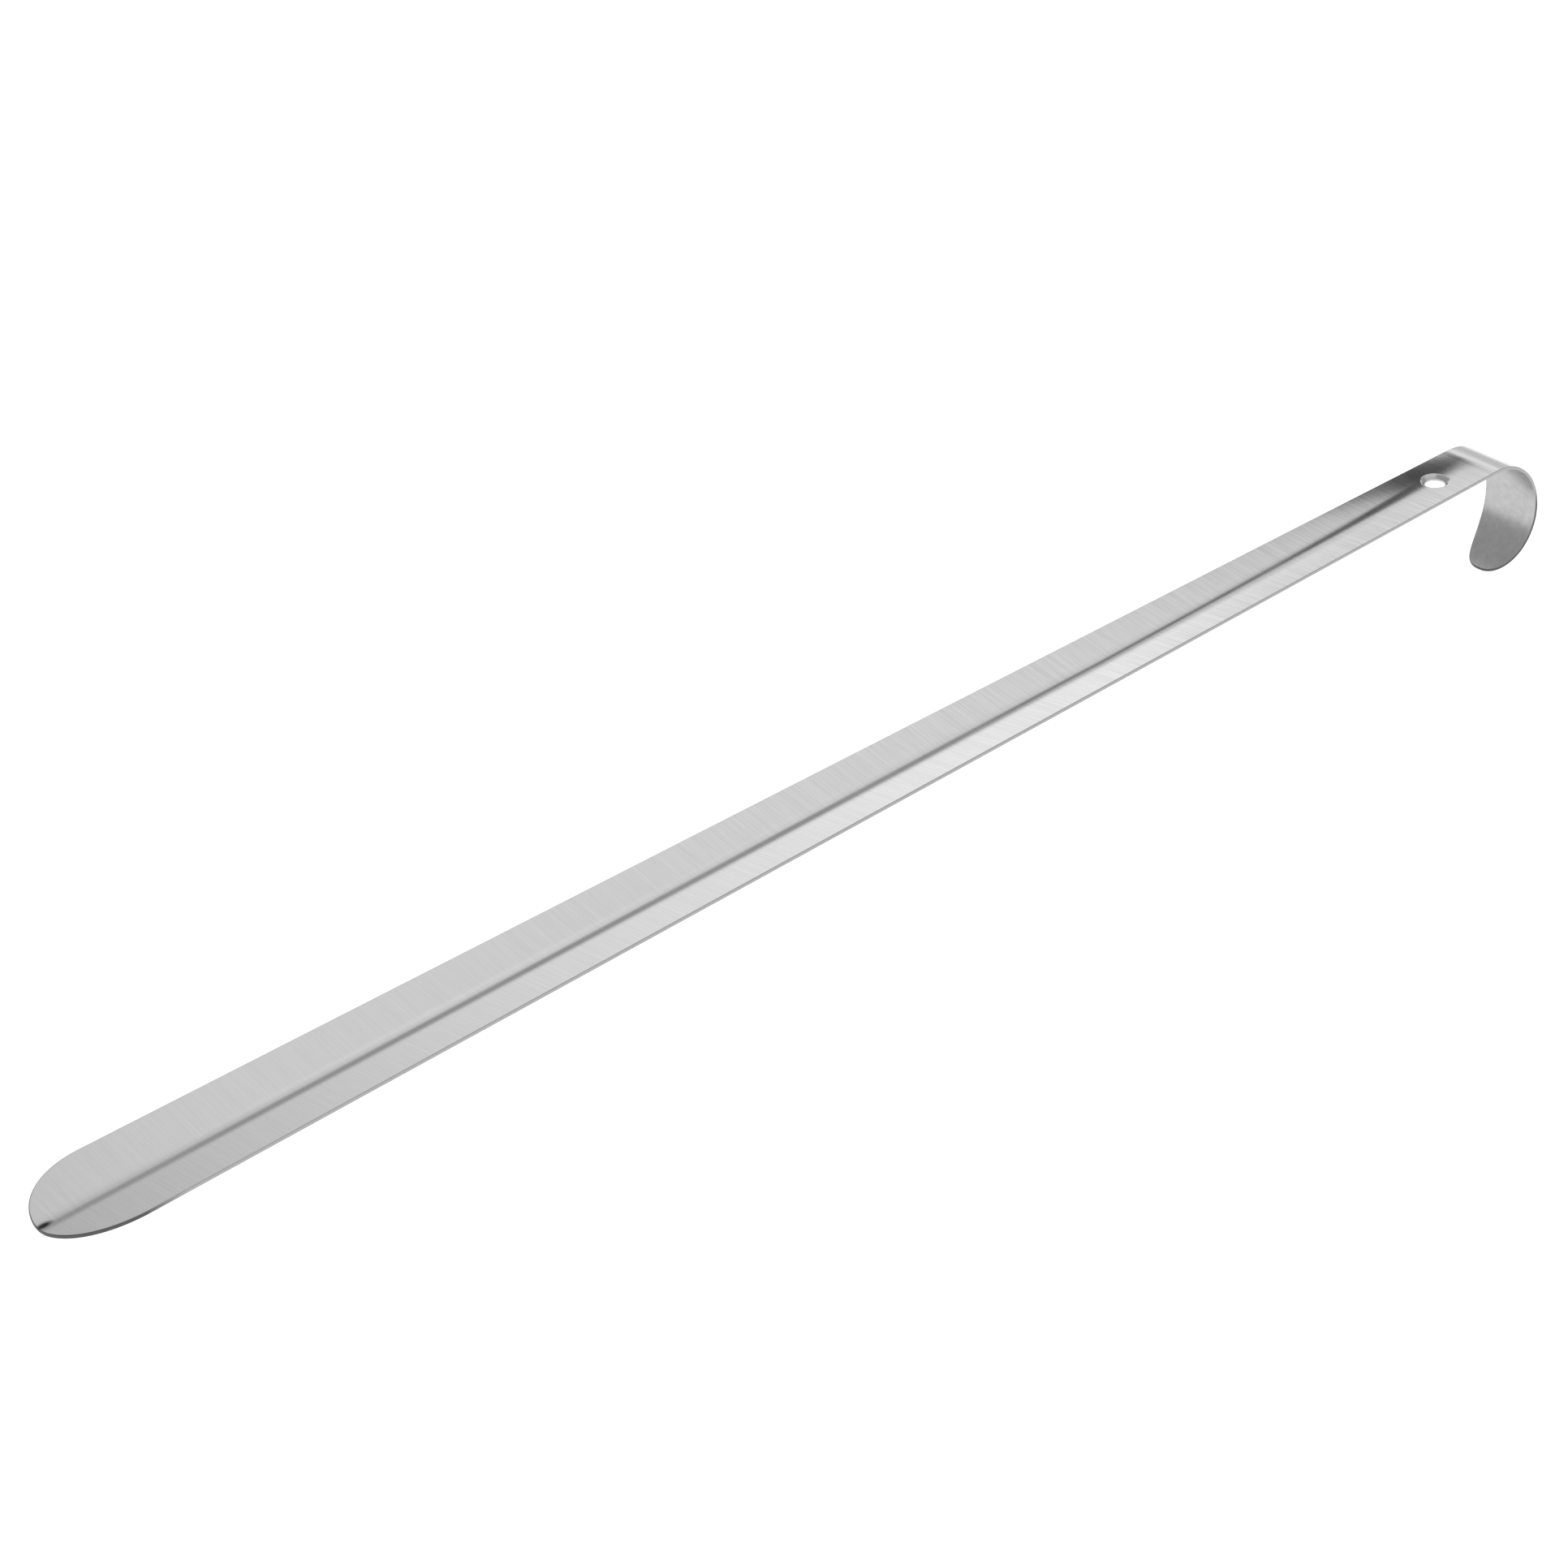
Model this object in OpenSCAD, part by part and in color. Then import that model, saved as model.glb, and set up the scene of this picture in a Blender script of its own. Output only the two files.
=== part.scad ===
// Long shoehorn: one strip of stainless sheet, blanked, pressed to a shallow V and bent to a hook.
// The strip is drawn flat along X, from the blade tip at x = 0 to the hook, with the foot side up.
// It is then tipped about Y to the way it lies on a table, on its blade tip and its hook lip.
// The nodes are the regions of that one strip. They meet face to face and never overlap.

/* [Sheet] */
// Thickness of the sheet
sheet_t = 1.2; // [1:0.1:1.5]
// Length from the blade tip to the start of the hook
strip_l = 590; // [520:1:640]
// Lift of each wing above the crease, in degrees
wing_angle = 10.5; // [6:0.5:13]
// Width of the rounded bottom of the crease
crease_w = 8; // [3:0.5:10]

/* [Shoe blade] */
// Width of the strip at the shoe end
blade_w = 37.5; // [34:0.5:42]
// Length of the part that goes into the shoe
blade_l = 190; // [150:5:220]
// Length over which the blade end is rounded
blade_round_l = 25; // [18:1:32]
// Fullness of the rounded blade end, where 2 is an ellipse
blade_round_power = 2.1; // [1.8:0.1:3]

/* [Neck] */
// Width of the strip at the hook
hook_w = 22.8; // [20:0.1:26]
// Length over which the V fades before the hook
fade_l = 190; // [120:5:220]
// How far ahead the wings' edges are of the crease halfway along the fade, as a share of its tilt
edge_ahead = 0.3; // [0:0.05:0.4]
// Length of the region that holds the hang hole
eye_l = 40; // [36:1:50]

/* [Hang hole] */
// Distance of the hole's centre from the start of the hook
hole_back = 19.5; // [16:0.5:24]
// Diameter of the straight wall of the hole
hole_d = 7.1; // [6:0.1:8]
// Diameter of the funnel's mouth
mouth_d = 9.9; // [8.6:0.1:10.4]
// Depth of the funnel below the upper face
funnel_h = 1; // [0.5:0.1:1.2]
// Depth of the pressed rim from the upper face to its lower end
rim_h = 2; // [1.8:0.1:2.4]

/* [Hook] */
// Radius of the hook at the middle of the sheet
hook_r = 23.3; // [20:0.1:27]
// Angle through which the hook turns
hook_turn = 164; // [140:1:168]
// Length over which the hook's lip is rounded
lip_l = 32.5; // [26:0.5:36]
// Fullness of the rounded lip, where 2 is an ellipse
lip_power = 2.6; // [2:0.1:3.4]

/* [Hidden] */
steel = [0.74, 0.74, 0.73];
half_t = sheet_t / 2;
half_crease = crease_w / 2;
fade_start = strip_l - fade_l;
eye_start = strip_l - eye_l;
hole_x = strip_l - hole_back;
// Outside radius of the pressed rim under the hole
rim_r = mouth_d / 2 + 0.5;
// Number of points round the blade end, along the fade and round the lip
tip_steps = 40;
fade_steps = 26;
eye_steps = 10;
lip_steps = 40;
// Room that cutting shapes reach past what they cut
past = 5;
// Height of the strip's edges where the hook starts
hook_z = hook_w / 2 * tan(wing_angle);
lip_angle = lip_l / hook_r * 180 / PI;
bend_angle = hook_turn - lip_angle;

// The two points the strip lies on: the crease under the blade tip and the outer corner of the lip.
tip_z = half_crease / 2 * tan(wing_angle) - half_t;
rest_x = strip_l + (hook_r + half_t) * sin(hook_turn);
rest_z = hook_z - hook_r + (hook_r + half_t) * cos(hook_turn);
lie_angle = atan2(tip_z - rest_z, rest_x);
// The ends of the strip along the table, for an origin at the middle of its length.
tip_end_x = -(tip_z + sheet_t) * sin(lie_angle);
hook_centre_x = strip_l * cos(lie_angle) - (hook_z - hook_r) * sin(lie_angle);
hook_end_x = hook_centre_x + hook_r + half_t;
middle_x = (tip_end_x + hook_end_x) / 2;

// Half the strip's width at distance s from the blade tip, before the end is rounded
function half_width(s) = (blade_w + (hook_w - blade_w) * min(1, s / strip_l)) / 2;
// Share of the width that is left at distance q (0 to 1) into a rounded end
function rounding(q, power) = pow(max(0, 1 - pow(q, power)), 1 / power);
// How much of the fade is done at distance s, from 0 to 1
function faded(s) = min(1, max(0, (s - fade_start) / fade_l));
// Slope of a wing beside the crease and at its edge
function crease_slope(s) = tan(wing_angle * cos(90 * faded(s)));
function edge_slope(s) = crease_slope(s) * (1 - 4 * edge_ahead * faded(s) * (1 - faded(s)));
// Distance from the centre, rounded off over the width of the crease
function rounded_y(y) = abs(y) < half_crease ? y * y / crease_w + half_crease / 2 : abs(y);
// Height of the middle of the sheet: the edges keep one straight line and the crease rises to them
function middle_z(s, y) =
    let (edge = half_width(s))
        edge * tan(wing_angle)
            - crease_slope(s) * (edge - rounded_y(y))
            - (edge_slope(s) - crease_slope(s)) * (edge * edge - y * y) / (2 * edge);
// Tilt of the sheet across the strip
function tilt_at(s, y) =
    crease_slope(s) * min(1, abs(y) / half_crease)
        + (edge_slope(s) - crease_slope(s)) * abs(y) / half_width(s);
function face_z(s, y, side) = middle_z(s, y) + side * half_t * sqrt(1 + pow(tilt_at(s, y), 2));
// Distances from the centre at which a cross-section has points
function section_y(edge) = concat(
    [for (k = [0 : 3]) -edge + (edge - half_crease) * k / 4],
    [for (k = [-4 : 4]) k / 4 * half_crease],
    [for (k = [3 : -1 : 0]) edge - (edge - half_crease) * k / 4]
);
// Closed cross-section at distance s, out to the given edge: the upper face, then the lower face back
function section(s, edge) =
    let (ys = section_y(edge))
        concat(
            [for (y = ys) [y, face_z(s, y, 1)]],
            [for (k = [len(ys) - 1 : -1 : 0]) [ys[k], face_z(s, ys[k], -1)]]
        );
// The same cross-section in place, out to the strip's own edge
function ring_at(s) = [for (p = section(s, half_width(s))) [s, p[0], p[1]]];

// Lays the flat-drawn strip on the table and puts the origin under the middle of its length
module lie_down() {
    translate([-middle_x, 0, -tip_z * cos(lie_angle)])
        rotate([0, -lie_angle, 0])
            children();
}

// Solid through cross-sections of equal point counts, each an upper row and then the lower row back
module skin(rings) {
    count = len(rings[0]);
    last = len(rings) - 1;
    side_faces = [for (i = [0 : last - 1], j = [0 : count - 1])
        let (k = (j + 1) % count)
            each [[i * count + j, i * count + k, (i + 1) * count + k],
                [i * count + j, (i + 1) * count + k, (i + 1) * count + j]]];
    start_faces = [for (j = [0 : count / 2 - 2])
        [j + 1, j, count - 1 - j, count - 2 - j]];
    end_faces = [for (j = [0 : count / 2 - 2])
        [for (k = [j, j + 1, count - 2 - j, count - 1 - j]) last * count + k]];
    polyhedron(
        points = [for (ring = rings) each ring],
        faces = concat(start_faces, side_faces, end_faces),
        convexity = 4
    );
}

// Stretch of the V from x = from to x = to, cut to the plan outline given
module v_stretch(from, to, outline) {
    intersection() {
        translate([from - past, 0, 0])
            rotate([90, 0, 90])
                linear_extrude(to - from + 2 * past)
                    polygon(section(0, blade_w / 2 + past));
        translate([0, 0, -past])
            linear_extrude(blade_w)
                polygon(outline);
    }
}

// Point of the blade's plan outline at share k (0 to 1) of the rounded end, on the side given
function blade_point(k, side) =
    let (s = blade_round_l * k * k)
        [s, side * half_width(s) * rounding(1 - k * k, blade_round_power)];

module shoe_blade() {
    color(steel)
        lie_down()
            v_stretch(0, blade_l, concat(
                [for (k = [0 : tip_steps]) blade_point(k / tip_steps, -1)],
                [[blade_l, -half_width(blade_l)], [blade_l, half_width(blade_l)]],
                [for (k = [tip_steps : -1 : 1]) blade_point(k / tip_steps, 1)]
            ));
}

module shank() {
    color(steel)
        lie_down()
            v_stretch(blade_l, fade_start, [
                [blade_l, half_width(blade_l)],
                [fade_start, half_width(fade_start)],
                [fade_start, -half_width(fade_start)],
                [blade_l, -half_width(blade_l)]
            ]);
}

// Solid stretch of the strip between two distances
module loft(from, to, steps) {
    skin([for (k = [0 : steps]) ring_at(from + (to - from) * k / steps)]);
}

module neck() {
    color(steel)
        lie_down()
            loft(fade_start, eye_start, fade_steps);
}

// Stretch between the neck and the hook, with the hang hole and its pressed rim
module hang_eye() {
    mouth_z = middle_z(hole_x, 0) + half_t;
    color(steel)
        lie_down()
            difference() {
                union() {
                    loft(eye_start, strip_l, eye_steps);
                    translate([hole_x, 0, mouth_z - rim_h])
                        cylinder(r = rim_r, h = rim_h - half_t, $fn = 64);
                }
                translate([hole_x, 0, mouth_z - rim_h - past])
                    cylinder(r = hole_d / 2, h = rim_h + 2 * past, $fn = 64);
                translate([hole_x, 0, mouth_z - funnel_h])
                    cylinder(r1 = hole_d / 2, r2 = mouth_d / 2, h = funnel_h, $fn = 64);
                translate([hole_x, 0, mouth_z])
                    cylinder(r = mouth_d / 2, h = past, $fn = 64);
            }
}

module hook_bend() {
    color(steel)
        lie_down()
            translate([strip_l, 0, hook_z - hook_r])
                rotate([90, 0, 0])
                    rotate([0, 0, 90 - bend_angle])
                        rotate_extrude(angle = bend_angle, $fn = 180)
                            translate([hook_r - half_t, -hook_w / 2])
                                square([sheet_t, hook_w]);
}

// Cross-section of the lip after turning through the angle given, in place
function lip_ring(turn, edge) = [
    for (corner = [[1, -1], [1, 1], [-1, 1], [-1, -1]])
        let (r = hook_r + corner[0] * half_t)
            [strip_l + r * sin(turn), corner[1] * edge, hook_z - hook_r + r * cos(turn)]
];

module hook_lip() {
    // Smallest half width, so that the end of the lip is a narrow face and not a point
    end_edge = 0.4;
    color(steel)
        lie_down()
            skin([for (k = [0 : lip_steps])
                let (q = 1 - pow(1 - k / lip_steps, 2))
                    lip_ring(
                        bend_angle + q * lip_angle,
                        max(end_edge, hook_w / 2 * rounding(q, lip_power))
                    )]);
}

shoe_blade();
shank();
neck();
hang_eye();
hook_bend();
hook_lip();
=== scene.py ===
"""Looks of the long shoehorn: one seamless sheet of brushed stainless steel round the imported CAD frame."""

import math

import bpy
import numpy as np
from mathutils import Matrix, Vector


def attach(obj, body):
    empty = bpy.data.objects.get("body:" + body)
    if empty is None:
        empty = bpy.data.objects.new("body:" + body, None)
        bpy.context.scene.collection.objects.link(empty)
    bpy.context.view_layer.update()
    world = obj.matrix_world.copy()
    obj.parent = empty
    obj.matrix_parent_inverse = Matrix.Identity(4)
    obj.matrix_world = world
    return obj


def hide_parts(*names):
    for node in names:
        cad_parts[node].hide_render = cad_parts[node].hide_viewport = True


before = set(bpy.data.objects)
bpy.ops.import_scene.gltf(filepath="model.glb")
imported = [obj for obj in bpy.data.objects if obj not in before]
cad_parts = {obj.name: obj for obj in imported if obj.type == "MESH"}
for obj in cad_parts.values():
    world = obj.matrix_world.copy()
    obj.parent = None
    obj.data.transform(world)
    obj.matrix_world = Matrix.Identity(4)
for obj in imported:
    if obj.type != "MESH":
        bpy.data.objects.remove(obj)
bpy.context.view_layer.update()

# Driving dimensions in millimetres, the same as the CAD part's.
SHEET_T = 1.2
STRIP_L = 590.0
WING_ANGLE = math.radians(10.5)
CREASE_W = 8.0
BLADE_W = 37.5
BLADE_ROUND_L = 25.0
BLADE_POWER = 2.1
HOOK_W = 22.8
FADE_L = 190.0
EDGE_AHEAD = 0.3
# The last trace of the V runs this far into the bend.
FADE_PAST = 8.0
# Length over which the straight strip eases into the hook's arc.
EASE_L = 8.0
HOLE_BACK = 19.5
HOLE_R = 3.55
MOUTH_R = 4.95
FUNNEL_H = 1.0
RIM_H = 2.0
RIM_WALL = 0.5
HOOK_R = 23.3
HOOK_TURN = math.radians(164)
LIP_L = 32.5
LIP_POWER = 2.6
# Radius to which the sheet's edges are rounded.
EDGE_R = 0.3
# Length over which the painted shade on the cut edge of the rounded ends fades into the plain cut edge of
# the straight sides.
END_SHADE_FADE = 12.0
# Stretch kept on each side of the hole for its patch, and width of the flat land round its mouth.
HOLE_ROOM = 12.0
MOUTH_LAND = 1.6
# Rounding radii of the funnel's mouth, its throat, the rim's two lower edges and the rim's root.
MOUTH_ROUND = 0.9
THROAT_ROUND = 0.6
RIM_ROUND = 0.25
ROOT_ROUND = 0.3
MM = 0.001
# Rows of vertices along each stretch of the strip, columns across it and points round a corner.
TIP_ROWS = 49
SHANK_ROWS = 33
FADE_ROWS = 49
HOLE_ROWS = 23
BEND_ROWS = 49
LIP_ROWS = 65
CREASE_COLUMNS = 13
WING_COLUMNS = 9
CORNER_POINTS = 7
EDGE_POINTS = 6

HALF_T = SHEET_T / 2
HALF_CREASE = CREASE_W / 2
FADE_START = STRIP_L - FADE_L
HOLE_S = STRIP_L - HOLE_BACK
HOOK_L = HOOK_R * HOOK_TURN
END_S = STRIP_L + HOOK_L
HOOK_Z = HOOK_W / 2 * math.tan(WING_ANGLE)


def half_width(s):
    """Half the strip's width at distance s from the blade tip, before its ends are rounded."""
    return (BLADE_W + (HOOK_W - BLADE_W) * np.minimum(1, s / STRIP_L)) / 2


def hook_line(s):
    """Where the strip's edges run, drawn in the XZ plane: the point and the turn at distance s. The
    strip is straight, then eases into the hook's arc over EASE_L."""
    arc = (s - STRIP_L) / HOOK_R
    t = np.clip((s - STRIP_L) / EASE_L + 0.5, 0, 1)
    # Quintic that leaves the straight and joins the arc with the same slope and bend.
    drop = EASE_L**2 / HOOK_R * t**3 * (-1 / 4 + t * (5 / 8 - t / 4))
    slope = EASE_L / HOOK_R * t**2 * (-3 / 4 + t * (5 / 2 - t * 5 / 4))
    bent = t == 1
    x = np.where(bent, STRIP_L + HOOK_R * np.sin(arc), s)
    z = np.where(bent, HOOK_R * (np.cos(arc) - 1), -drop)
    return x, HOOK_Z + z, np.where(bent, arc, slope)


def middle_sheet(s, y):
    """Points of the sheet's middle surface, with the strip lying along X. The edges keep one line,
    and the crease rises to them as the V fades, soonest at the edges."""
    edge = half_width(s)
    faded = np.clip((s - FADE_START) / (FADE_L + FADE_PAST), 0, 1)
    at_crease = np.tan(WING_ANGLE * np.cos(math.pi / 2 * faded))
    at_edge = at_crease * (1 - 4 * EDGE_AHEAD * faded * (1 - faded))
    from_centre = np.where(np.abs(y) < HALF_CREASE, y * y / CREASE_W + HALF_CREASE / 2, np.abs(y))
    height = edge * math.tan(WING_ANGLE) - HOOK_Z - at_crease * (edge - from_centre)
    height = height - (at_edge - at_crease) * (edge * edge - y * y) / (2 * edge)
    x, z, turn = hook_line(s)
    return np.stack([x + height * np.sin(turn), y + 0 * s, z + height * np.cos(turn)], -1)


# How the strip lies: tipped about Y onto the crease under the blade tip and the lip's outer corner.
TIP_Z = HALF_CREASE / 2 * math.tan(WING_ANGLE) - HALF_T
REST_X = STRIP_L + (HOOK_R + HALF_T) * math.sin(HOOK_TURN)
REST_Z = HOOK_Z - HOOK_R + (HOOK_R + HALF_T) * math.cos(HOOK_TURN)
LIE = math.atan2(TIP_Z - REST_Z, REST_X)
TIP_END_X = -(TIP_Z + SHEET_T) * math.sin(LIE)
HOOK_END_X = STRIP_L * math.cos(LIE) - (HOOK_Z - HOOK_R) * math.sin(LIE) + HOOK_R + HALF_T
SHIFT = np.array([-(TIP_END_X + HOOK_END_X) / 2, 0, -TIP_Z * math.cos(LIE)])
TURN = np.array([[math.cos(LIE), 0, -math.sin(LIE)], [0, 1, 0], [math.sin(LIE), 0, math.cos(LIE)]])


def wide(values):
    """Numbers as rows of three equal values, to scale points or normals by."""
    return np.asarray(values, float)[..., None] * np.ones(3)


def place(s, y, out_s, out_y, height, out_share, up_share):
    """Points and normals of the skin at a height off the middle surface over (s, y). The normal mixes
    the outward direction in the sheet's plane, (out_s, out_y), with the sheet's own normal."""
    s = np.asarray(s, float) + 0 * np.asarray(y, float)
    y = np.asarray(y, float) + 0 * s
    step = 0.02  # Half the span over which the sheet's slopes are taken.
    along = middle_sheet(s + step, y) - middle_sheet(s - step, y)
    across = middle_sheet(s, y + step) - middle_sheet(s, y - step)
    along /= np.linalg.norm(along, axis=-1, keepdims=True)
    across /= np.linalg.norm(across, axis=-1, keepdims=True)
    up = np.cross(along, across)
    up /= np.linalg.norm(up, axis=-1, keepdims=True)
    outward = along * wide(out_s) + across * wide(out_y)
    point = middle_sheet(s, y) + up * wide(height)
    normal = up * wide(up_share) + outward * wide(out_share)
    return (point @ TURN.T + SHIFT) * MM, normal @ TURN.T


class Skin:
    """Collects vertices with their exact normals and their place on the flat strip, and the faces."""

    def __init__(self):
        self.points, self.normals, self.flat, self.cut, self.faces = [], [], [], [], []

    def add(self, s, y, height, out_s=0.0, out_y=0.0, out_share=0.0, up_share=1.0, cut=0.0):
        point, normal = place(s, y, out_s, out_y, height, out_share, up_share)
        first = len(self.points)
        point = np.atleast_2d(point)
        self.points.extend(point)
        self.normals.extend(np.atleast_2d(normal))
        flat = np.stack([s + 0 * y, y + 0 * s, height + 0 * s + 0 * y], -1)
        self.flat.extend(np.atleast_2d(flat))
        self.cut.extend([cut] * len(point))
        return list(range(first, first + len(point)))

    def quads(self, first, second):
        """Faces between two rows of vertices of the same length; shared ones make triangles."""
        for a, b, c, d in zip(first[:-1], first[1:], second[1:], second[:-1]):
            ring = []
            for v in (a, b, c, d):
                if v not in ring:
                    ring.append(v)
            if len(ring) > 2:
                self.faces.append(ring)

    def make(self, name):
        used = sorted({v for f in self.faces for v in f})
        new = {v: k for k, v in enumerate(used)}
        mesh = bpy.data.meshes.new(name)
        mesh.from_pydata([self.points[v].tolist() for v in used], [],
                         [[new[v] for v in f] for f in self.faces])
        place_on_strip = mesh.attributes.new("flat_strip", "FLOAT_VECTOR", "POINT")
        flat = np.array([self.flat[v] for v in used], np.float32) * MM
        place_on_strip.data.foreach_set("vector", flat.ravel())
        cut_edge_and_end_shade = mesh.attributes.new("cut_edge", "FLOAT", "POINT")
        cut_edge_and_end_shade.data.foreach_set("value", np.array([self.cut[v] for v in used], np.float32))
        mesh.shade_smooth()
        normals = np.array([self.normals[v] for v in used])
        normals /= np.linalg.norm(normals, axis=1, keepdims=True)
        mesh.normals_split_custom_set_from_vertices(normals.tolist())
        piece = bpy.data.objects.new(name, mesh)
        bpy.context.collection.objects.link(piece)
        return piece


def outline():
    """Plan outline of one side, blade tip to lip end: distances, half widths, outward normals, and
    the two rows between which the hole's patch lies."""
    tip = BLADE_ROUND_L * np.linspace(0, 1, TIP_ROWS) ** BLADE_POWER
    shank = np.linspace(BLADE_ROUND_L, FADE_START, SHANK_ROWS)[1:]
    patch = np.linspace(HOLE_S - HOLE_ROOM, HOLE_S + HOLE_ROOM, HOLE_ROWS)
    fade = np.linspace(FADE_START, patch[0], FADE_ROWS)[1:-1]
    bend = np.linspace(HOLE_S + HOLE_ROOM, END_S - LIP_L, BEND_ROWS)[1:]
    lip = END_S - LIP_L * np.linspace(1, 0, LIP_ROWS)[1:] ** LIP_POWER
    s = np.concatenate([tip, shank, fade, patch, bend, lip])
    first = len(tip) + len(shank) + len(fade)
    to_tip = np.clip(1 - s / BLADE_ROUND_L, 0, 1)
    to_lip = np.clip(1 - (END_S - s) / LIP_L, 0, 1)
    width = half_width(s)
    width = width * np.maximum(0, 1 - to_tip**BLADE_POWER) ** (1 / BLADE_POWER)
    width = width * np.maximum(0, 1 - to_lip**LIP_POWER) ** (1 / LIP_POWER)
    step = np.stack([np.diff(s), np.diff(width)], -1)
    step /= np.linalg.norm(step, axis=1, keepdims=True)
    side = np.stack([-step[:, 1], step[:, 0]], -1)
    normal = np.concatenate([[[-1, 0]], side[:-1] + side[1:], [[1, 0]]])
    normal /= np.linalg.norm(normal, axis=1, keepdims=True)
    return s, width, normal, first, first + len(patch) - 1


def columns(edge):
    """Distances from the centre at which a row of the sheet has vertices, from -edge to edge."""
    near = HALF_CREASE * min(1, edge / (3 * HALF_CREASE))
    crease = np.linspace(-1, 1, CREASE_COLUMNS) * near
    wing = near + (edge - near) * np.linspace(0, 1, WING_COLUMNS)[1:]
    return np.concatenate([-wing[::-1], crease, wing])


def rounded_profile(corners):
    """Points and outward normals along a path whose corners (radius, height, rounding) are rounded.
    The solid lies to the left of the path."""
    points, normals = [], []
    corner = [np.array(c[:2], float) for c in corners]
    for k in range(1, len(corner) - 1):
        before = corner[k] - corner[k - 1]
        after = corner[k + 1] - corner[k]
        before /= np.linalg.norm(before)
        after /= np.linalg.norm(after)
        bend = math.atan2(before[0] * after[1] - before[1] * after[0], before @ after)
        r = corners[k][2]
        start = corner[k] - before * r * math.tan(abs(bend) / 2)
        out = np.array([before[1], -before[0]])
        centre = start - out * r * math.copysign(1, bend)
        for t in np.linspace(0, 1, CORNER_POINTS):
            c, d = math.cos(bend * t), math.sin(bend * t)
            n = np.array([out[0] * c - out[1] * d, out[0] * d + out[1] * c])
            points.append(centre + n * r * math.copysign(1, bend))
            normals.append(n)
    return points, normals


def build_strip():
    """The whole strip as one closed mesh: both faces, the rounded edge, and the pressed hole."""
    skin = Skin()
    s, width, normal, hole_first, hole_last = outline()
    last = len(s) - 1
    edge_angles = np.linspace(math.pi / 2, 0, EDGE_POINTS)
    rows = {1: [], -1: []}
    for side in (1, -1):
        for k in range(last + 1):
            inset_s = s[k] - normal[k, 0] * EDGE_R
            inset_y = max(0.0, width[k] - normal[k, 1] * EDGE_R)
            if k in (0, last):
                one = skin.add(np.array([inset_s]), np.array([0.0]), side * HALF_T, up_share=side)
                rows[side].append(one * len(columns(1.0)))
            else:
                y = columns(inset_y)
                rows[side].append(skin.add(inset_s + 0 * y, y, side * HALF_T, up_share=side))
    # The rounded edge: from the upper face round to the lower one, along both sides.
    ring = [(math.cos(a), math.sin(a), 1) for a in edge_angles[1:]]
    ring += [(c, -d, -1) for c, d, _ in ring[::-1]]
    edges = {1: [], -1: []}
    for hand in (1, -1):
        for k in range(last + 1):
            if hand == -1 and k in (0, last):
                edges[hand].append(edges[1][k])
                continue
            column = -1 if hand == 1 else 0
            line = [rows[1][k][column]]
            for out, up, face in ring:
                inset = EDGE_R * (1 - out)
                height = face * (HALF_T - EDGE_R) + EDGE_R * up
                at_s = np.array([s[k] - normal[k, 0] * inset])
                at_y = np.array([hand * (width[k] - normal[k, 1] * inset)])
                if k in (0, last):
                    at_y = np.array([0.0])
                # 1 on the cut edge of the straight sides and 2 on that of the rounded ends, which carries
                # painted shade.
                into_round = max(BLADE_ROUND_L - s[k], s[k] - (END_S - LIP_L))
                end_shade = min(1, max(0, 0.5 + into_round / END_SHADE_FADE))
                cut = out * (1 + end_shade)
                line += skin.add(at_s, at_y, height, normal[k, 0], hand * normal[k, 1], out, up, cut)
            line.append(rows[-1][k][column])
            edges[hand].append(line)
    for k in range(last):
        if not hole_first <= k < hole_last:
            skin.quads(rows[1][k + 1], rows[1][k])
            skin.quads(rows[-1][k], rows[-1][k + 1])
        skin.quads(edges[1][k + 1], edges[1][k])
        skin.quads(edges[-1][k], edges[-1][k + 1])
    # The hole's patch: rings of the pressed funnel, joined to the border of the gap left for it. The
    # first and last corners only give the path its direction.
    rim_r = MOUTH_R + RIM_WALL
    corners = [
        (MOUTH_R + HOLE_ROOM, HALF_T, 0),
        (MOUTH_R, HALF_T, MOUTH_ROUND),
        (HOLE_R, HALF_T - FUNNEL_H, THROAT_ROUND),
        (HOLE_R, HALF_T - RIM_H, RIM_ROUND),
        (rim_r, HALF_T - RIM_H, RIM_ROUND),
        (rim_r, -HALF_T, ROOT_ROUND),
        (rim_r + HOLE_ROOM, -HALF_T, 0),
    ]
    profile, profile_normal = rounded_profile(corners)

    def border(side):
        upper = rows[side]
        loop = list(upper[hole_last])
        loop += [upper[k][-1] for k in range(hole_last - 1, hole_first, -1)]
        loop += list(upper[hole_first])[::-1]
        loop += [upper[k][0] for k in range(hole_first + 1, hole_last)]
        return loop

    top, bottom = border(1), border(-1)
    flat = np.array([skin.flat[v] for v in top])
    around = np.arctan2(flat[:, 1], flat[:, 0] - HOLE_S)
    reach = np.hypot(flat[:, 1], flat[:, 0] - HOLE_S)
    ring_s, ring_y = np.cos(around), np.sin(around)

    def rings(side):
        start = MOUTH_R + MOUTH_LAND
        made = []
        for share in (0.66, 0.33, 0.0):  # Thirds of the way in from the border.
            r = start + (reach - start) * share
            made.append(skin.add(HOLE_S + ring_s * r, ring_y * r, side * HALF_T, up_share=side))
        return made

    loops = [top] + rings(1)
    for (r, z), (n_r, n_z) in zip(profile, profile_normal):
        loops.append(skin.add(HOLE_S + ring_s * r, ring_y * r, z, ring_s, ring_y, n_r, n_z))
    loops += rings(-1)[::-1] + [bottom]
    for outer, inner in zip(loops[:-1], loops[1:]):
        skin.quads(outer + outer[:1], inner + inner[:1])
    return skin.make("shoehorn_strip")


# Greys of the steel: the hairlines' darkest and lightest, the blade where they fade, the mottling's
# darkest and lightest, the cut edge along the sides, the painted shade on the cut edge at the rounded
# ends, and the painted shade at the blade tip.
HAIRLINE_GREYS = (0.50, 0.63)
BLADE_GREY = 0.568
LOWER_GREYS = (0.44, 0.51)
CUT_GREY = 0.38
CUT_END_SHADE_GREY = 0.10
TIP_SHADE_GREY = 0.04
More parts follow.
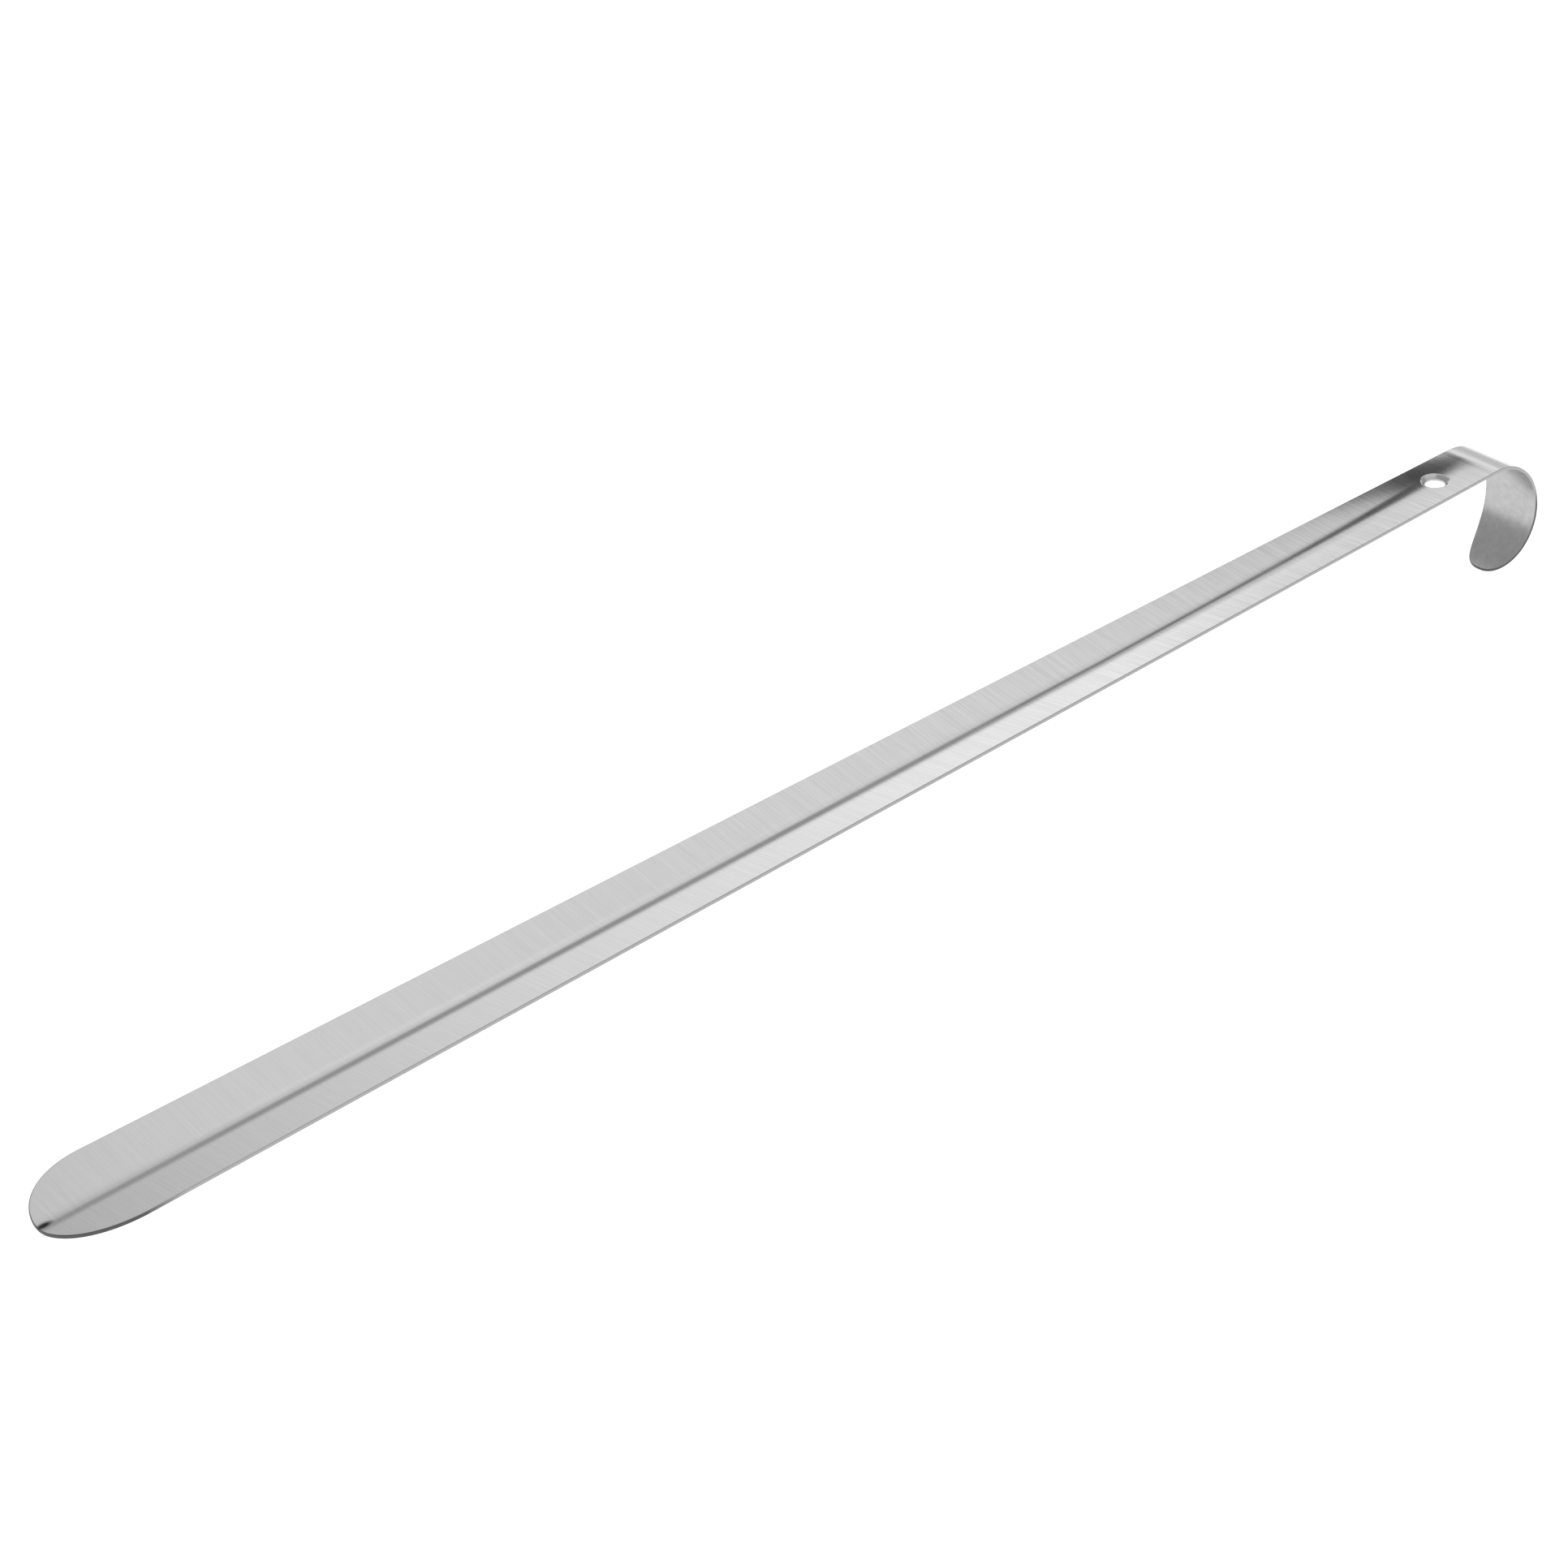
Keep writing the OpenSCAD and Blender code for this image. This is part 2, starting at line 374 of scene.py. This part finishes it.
# Roughness of the upper side, smoothest and roughest, and of the lower side.
UPPER_ROUGHNESS = (0.08, 0.12)
LOWER_ROUGHNESS = 0.32
# Noise cells in a metre along and across the strip: hairlines, uneven polish, mottling.
HAIRLINE_CELLS = (1700.0, 40.0)
POLISH_CELLS = (38.0, 60.0)
MOTTLE_CELLS = (420.0, 420.0)
CELLS_THROUGH = 300.0
# Distances from the blade tip, in metres, between which the hairlines come up to full strength.
HAIRLINES_COME_UP = (0.15, 0.5)
# Values of "cut_edge" between which the cut edge's grey comes in, and then the painted shade of its rounded
# ends.
CUT_COMES_IN = (0.2, 0.9)
END_SHADE_COMES_IN = (1.0, 1.6)
# The painted shade at the blade tip is measured in steps of 1 / TIP_SHADE_SCALE metres, along and
# across the strip. Its centre is 0.7 of a step in from the blade tip, and it fades between the two
# distances in TIP_SHADE_FADES.
TIP_SHADE_SCALE = (400.0, 900.0, 0.0)
TIP_SHADE_OFFSET = (-0.7, 0.0, 0.0)
TIP_SHADE_FADES = (0.5, 1.4)
# Part of the noise's range that is spread over a pair of greys, and how rough the noise is.
NOISE_RANGE = (0.3, 0.7)
NOISE_ROUGHNESS = 0.6
# Strength of the hairlines' bump and its height in millimetres.
BUMP_STRENGTH = 0.2
BUMP_HEIGHT = 0.02
# Half the height in millimetres over which the upper side's look turns into the lower side's.
SIDES_MEET = 0.4


def brushed_steel():
    """Satin stainless sheet with fine hairlines across its length and faint uneven polish."""
    made = bpy.data.materials.new("brushed_stainless")
    made.use_nodes = True
    tree = made.node_tree
    link = tree.links.new
    shader = tree.nodes["Principled BSDF"]
    shader.inputs["Metallic"].default_value = 1.0

    def new(kind, **values):
        n = tree.nodes.new(kind)
        for key, value in values.items():
            if key in n.inputs:
                n.inputs[key].default_value = value
            else:
                setattr(n, key, value)
        return n

    on_strip = new("ShaderNodeAttribute", attribute_name="flat_strip").outputs["Vector"]

    def noise(cells, detail):
        stretch = new("ShaderNodeMapping")
        stretch.inputs["Scale"].default_value = (*cells, CELLS_THROUGH)
        made_noise = new("ShaderNodeTexNoise", Scale=1.0, Detail=detail,
                         Roughness=NOISE_ROUGHNESS)
        link(on_strip, stretch.inputs["Vector"])
        link(stretch.outputs["Vector"], made_noise.inputs["Vector"])
        return made_noise.outputs["Fac"]

    def ramp(source, low, high, from_low=NOISE_RANGE[0], from_high=NOISE_RANGE[1]):
        n = new("ShaderNodeMapRange")
        n.inputs["From Min"].default_value = from_low
        n.inputs["From Max"].default_value = from_high
        n.inputs["To Min"].default_value = low
        n.inputs["To Max"].default_value = high
        link(source, n.inputs["Value"])
        return n.outputs["Result"]

    def mix(share, first, second, kind="RGBA"):
        """Goes from the first to the second by a share; each is a number or a node's output."""
        n = new("ShaderNodeMix", data_type=kind)
        link(share, n.inputs["Factor"])
        for side, source in (("A", first), ("B", second)):
            if not isinstance(source, float):
                link(source, n.inputs[side])
            elif kind == "RGBA":
                n.inputs[side].default_value = (source, source, source, 1)
            else:
                n.inputs[side].default_value = source
        return n.outputs["Result"]

    hairlines = noise(HAIRLINE_CELLS, 4.0)
    polish = noise(POLISH_CELLS, 2.0)
    mottle = noise(MOTTLE_CELLS, 3.0)
    cut = new("ShaderNodeAttribute", attribute_name="cut_edge").outputs["Fac"]
    split = new("ShaderNodeSeparateXYZ")
    link(on_strip, split.inputs["Vector"])
    # Hairlines are faint on the blade and clearest near the hook.
    lined = mix(ramp(hairlines, 0.0, 1.0), *HAIRLINE_GREYS)
    upper = mix(ramp(split.outputs["X"], 0.3, 1.0, *HAIRLINES_COME_UP), BLADE_GREY, lined)
    # The lower side is duller than the upper side, mottled and without hairlines.
    lower_side = ramp(split.outputs["Z"], 1.0, 0.0, -SIDES_MEET * MM, SIDES_MEET * MM)
    lower = mix(ramp(mottle, 0.0, 1.0), *LOWER_GREYS)
    face = mix(lower_side, upper, lower)
    # The cut edge is darker than the faces; at the rounded ends it is darker still with painted shade.
    cut_edge_and_end_shade = mix(ramp(cut, 0.0, 1.0, *END_SHADE_COMES_IN), CUT_GREY, CUT_END_SHADE_GREY)
    edged = mix(ramp(cut, 0.0, 1.0, *CUT_COMES_IN), face, cut_edge_and_end_shade)
    # Painted shade, in colour only, in the V where the crease runs out at the blade tip.
    from_tip_shade = new("ShaderNodeVectorMath", operation="MULTIPLY_ADD")
    from_tip_shade.inputs[1].default_value = TIP_SHADE_SCALE
    from_tip_shade.inputs[2].default_value = TIP_SHADE_OFFSET
    link(on_strip, from_tip_shade.inputs[0])
    distance = new("ShaderNodeVectorMath", operation="LENGTH")
    link(from_tip_shade.outputs["Vector"], distance.inputs[0])
    tip_shaded = mix(ramp(distance.outputs["Value"], 1.0, 0.0, *TIP_SHADE_FADES), edged, TIP_SHADE_GREY)
    link(tip_shaded, shader.inputs["Base Color"])
    roughness = mix(lower_side, ramp(polish, *UPPER_ROUGHNESS), LOWER_ROUGHNESS, "FLOAT")
    link(roughness, shader.inputs["Roughness"])
    bump = new("ShaderNodeBump", Strength=BUMP_STRENGTH, Distance=BUMP_HEIGHT * MM)
    link(hairlines, bump.inputs["Height"])
    link(bump.outputs["Normal"], shader.inputs["Normal"])
    return made


strip = build_strip()
strip.data.materials.append(brushed_steel())
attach(strip, "root")
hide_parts("shoe_blade", "shank", "neck", "hang_eye", "hook_bend", "hook_lip")


# Side of the square floor in metres, its grey and its glow.
FLOOR_SIZE = 40.0
FLOOR_GREY = 0.5
FLOOR_GLOW = 0.86


def pale_floor():
    """A matt floor that glows, so that only a faint shadow shows on it."""
    made = bpy.data.materials.new("pale_floor")
    made.use_nodes = True
    shader = made.node_tree.nodes["Principled BSDF"]
    shader.inputs["Base Color"].default_value = (FLOOR_GREY, FLOOR_GREY, FLOOR_GREY, 1)
    shader.inputs["Roughness"].default_value = 0.9
    shader.inputs["Specular IOR Level"].default_value = 0.1
    shader.inputs["Emission Color"].default_value = (1, 1, 1, 1)
    shader.inputs["Emission Strength"].default_value = FLOOR_GLOW
    return made


def make_floor(size):
    mesh = bpy.data.meshes.new("floor")
    h = size / 2
    mesh.from_pydata([(-h, -h, 0), (h, -h, 0), (h, h, 0), (-h, h, 0)], [], [(0, 1, 2, 3)])
    made = bpy.data.objects.new("floor", mesh)
    bpy.context.collection.objects.link(made)
    mesh.materials.append(pale_floor())
    return made


floor = make_floor(FLOOR_SIZE)

# Light of the studio by direction, as (elevation in degrees, radiance): a bright wall behind the
# object, a dark gap above it and a large soft ceiling. The gap is wide and grey beyond the shoe end,
# narrow and dark beyond the hook; the sides are dim and the camera's side is a soft fill.
BEYOND_SHANK = ((0, 1.35), (18, 1.33), (24, 1.25), (28, 0.85), (31, 0.46), (37, 0.46), (41, 1.0),
                (50, 1.12), (90, 0.8))
BEYOND_HOOK = ((0, 0.86), (14, 0.78), (22, 0.9), (27, 1.2), (32, 1.25), (33, 0.06), (36.4, 0.06),
               (37.2, 0.76), (40, 0.94), (50, 1.1), (90, 0.8))
BRIGHT_AZIMUTH = math.radians(40)
SIDE_RADIANCE = 0.5
FILL_RADIANCE = 0.85
STRONGEST = 1.4
# Cosines between which one light gives way to the next: beyond the shank to beyond the hook, the
# sides to the camera's side, and both of those to the bright wall.
SHANK_TO_HOOK = (0.62, 0.77)
SIDES_TO_FILL = (0.2, 0.5)
DIM_TO_BRIGHT = (0.815, 0.965)


def make_studio():
    """Lights the scene from all round, by direction only."""
    world = bpy.data.worlds.new("studio")
    world.use_nodes = True
    tree = world.node_tree
    link = tree.links.new

    def vector_math(operation, source, constant=None):
        n = tree.nodes.new("ShaderNodeVectorMath")
        n.operation = operation
        link(source, n.inputs[0])
        if constant is not None:
            n.inputs[1].default_value = constant
        return n.outputs["Value" if operation == "DOT_PRODUCT" else "Vector"]

    def spread(source, low, high):
        n = tree.nodes.new("ShaderNodeMapRange")
        n.inputs["From Min"].default_value = low
        n.inputs["From Max"].default_value = high
        link(source, n.inputs["Value"])
        return n.outputs["Result"]

    def grey(radiance):
        n = tree.nodes.new("ShaderNodeRGB")
        n.outputs[0].default_value = (*[radiance / STRONGEST] * 3, 1)
        return n.outputs[0]

    def bands(height, steps):
        n = tree.nodes.new("ShaderNodeValToRGB")
        link(height, n.inputs["Fac"])
        stops = n.color_ramp.elements
        while len(stops) < len(steps):
            stops.new(0.5)
        for stop, (elevation, radiance) in zip(stops, steps):
            stop.position = math.sin(math.radians(elevation))
            stop.color = (*[radiance / STRONGEST] * 3, 1)
        return n.outputs["Color"]

    def blend(share, first, second):
        n = tree.nodes.new("ShaderNodeMix")
        n.data_type = "RGBA"
        link(share, n.inputs["Factor"])
        link(first, n.inputs["A"])
        link(second, n.inputs["B"])
        return n.outputs["Result"]

    direction = tree.nodes.new("ShaderNodeTexCoord").outputs["Generated"]
    height = vector_math("DOT_PRODUCT", direction, (0, 0, 1))
    heading = vector_math("NORMALIZE", vector_math("MULTIPLY", direction, (1, 1, 0)))
    along = vector_math("DOT_PRODUCT", heading, (1, 0, 0))
    towards_camera = vector_math("DOT_PRODUCT", heading, (0, -1, 0))
    bright_axis = (math.cos(BRIGHT_AZIMUTH), math.sin(BRIGHT_AZIMUTH), 0)
    to_bright = vector_math("DOT_PRODUCT", heading, bright_axis)
    hookward = spread(along, *SHANK_TO_HOOK)
    behind = blend(hookward, bands(height, BEYOND_SHANK), bands(height, BEYOND_HOOK))
    filled = spread(towards_camera, *SIDES_TO_FILL)
    sides = blend(filled, grey(SIDE_RADIANCE), grey(FILL_RADIANCE))
    background = tree.nodes["Background"]
    link(blend(spread(to_bright, *DIM_TO_BRIGHT), sides, behind), background.inputs["Color"])
    background.inputs["Strength"].default_value = STRONGEST
    bpy.context.scene.world = world


make_studio()

# The camera: sensor and lens in millimetres, the point it looks at and its distance from it in
# metres, and the direction it looks from.
SENSOR_W = 36.0
LENS = 87.25
AIM = Vector((-0.0397, 0, 0.0377))
AZIMUTH = math.radians(-41.06)
ELEVATION = math.radians(30.31)
DISTANCE = 1.1597

camera_data = bpy.data.cameras.new("camera")
camera_data.sensor_width = SENSOR_W
camera_data.lens = LENS
camera = bpy.data.objects.new("camera", camera_data)
bpy.context.collection.objects.link(camera)
back = Vector((math.sin(AZIMUTH) * math.cos(ELEVATION), -math.cos(AZIMUTH) * math.cos(ELEVATION),
               math.sin(ELEVATION)))
camera.location = AIM + back * DISTANCE
camera.rotation_mode = "QUATERNION"
camera.rotation_quaternion = (-back).to_track_quat("-Z", "Y")
bpy.context.scene.camera = camera
bpy.context.scene.view_settings.view_transform = "Standard"
